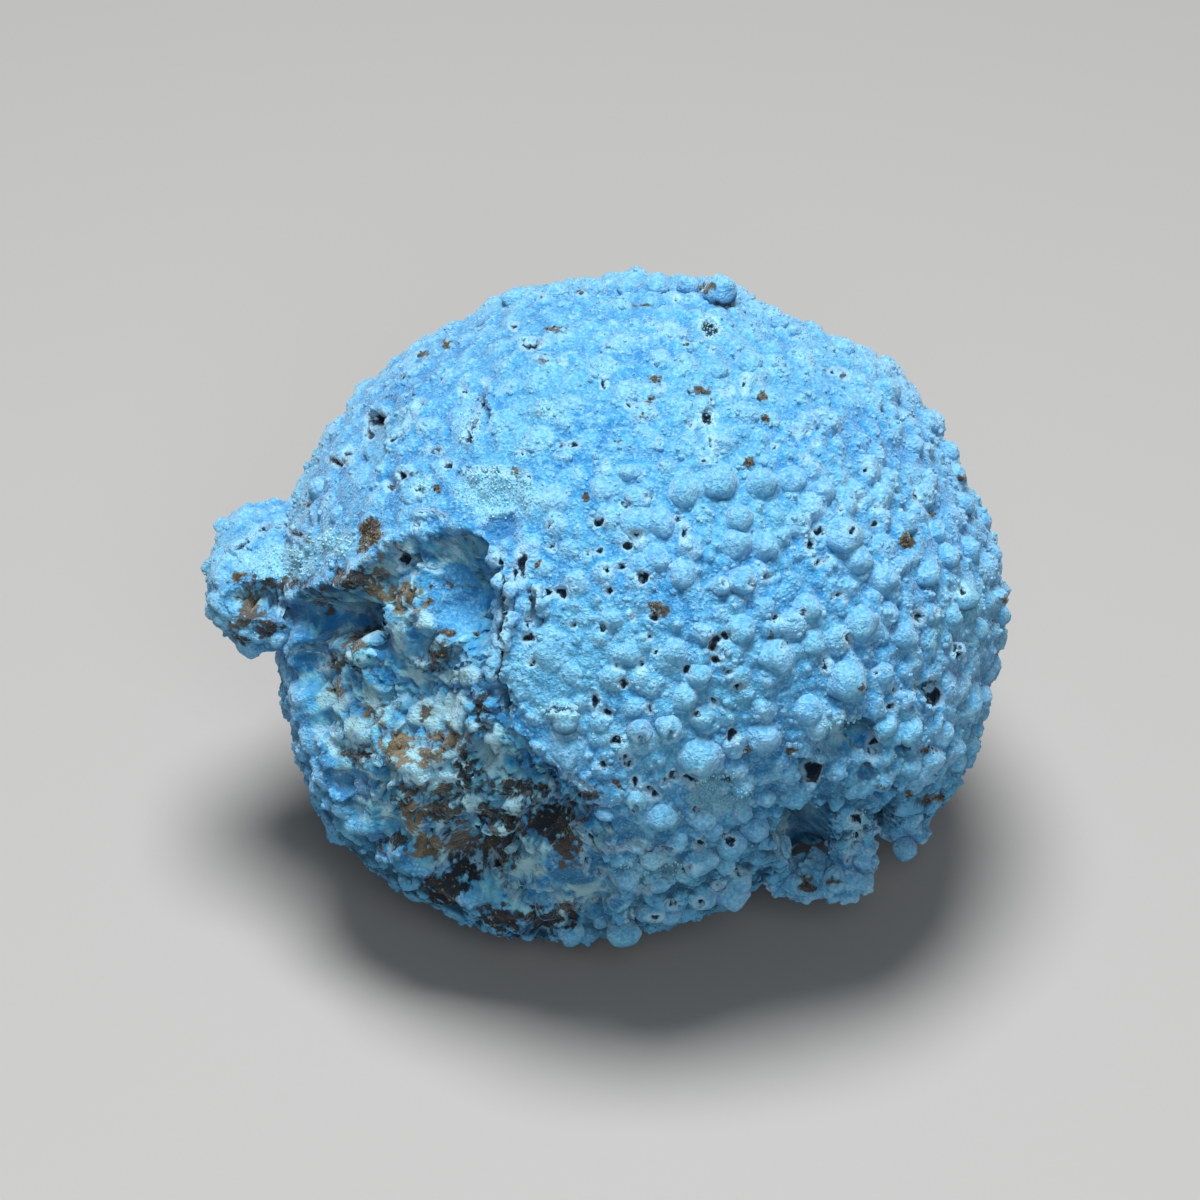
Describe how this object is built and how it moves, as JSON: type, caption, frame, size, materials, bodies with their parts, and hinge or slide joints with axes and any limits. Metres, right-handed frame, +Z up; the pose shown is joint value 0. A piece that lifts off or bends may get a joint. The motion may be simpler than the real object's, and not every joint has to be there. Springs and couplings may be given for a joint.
{
  "type": "mineral specimen",
  "caption": "Rounded blue shattuckite nodule with a crust of small botryoidal lumps, a broken pale face and a short snout on one side; stands on a small flat.",
  "frame": {"origin": "on the surface it stands on, under the middle of its bounding box", "axes": "+X along the longest extent, away from the snout; -Y towards the viewer of the picture; +Z up as it stands"},
  "size_m": [0.0424, 0.0362, 0.0341],
  "materials": {
    "shattuckite": "matt sky-blue crust, velvety, with paler rims, dark pits and brown specks"
  },
  "bodies": {
    "root": {"nodule": "shattuckite"}
  },
  "joints": []
}
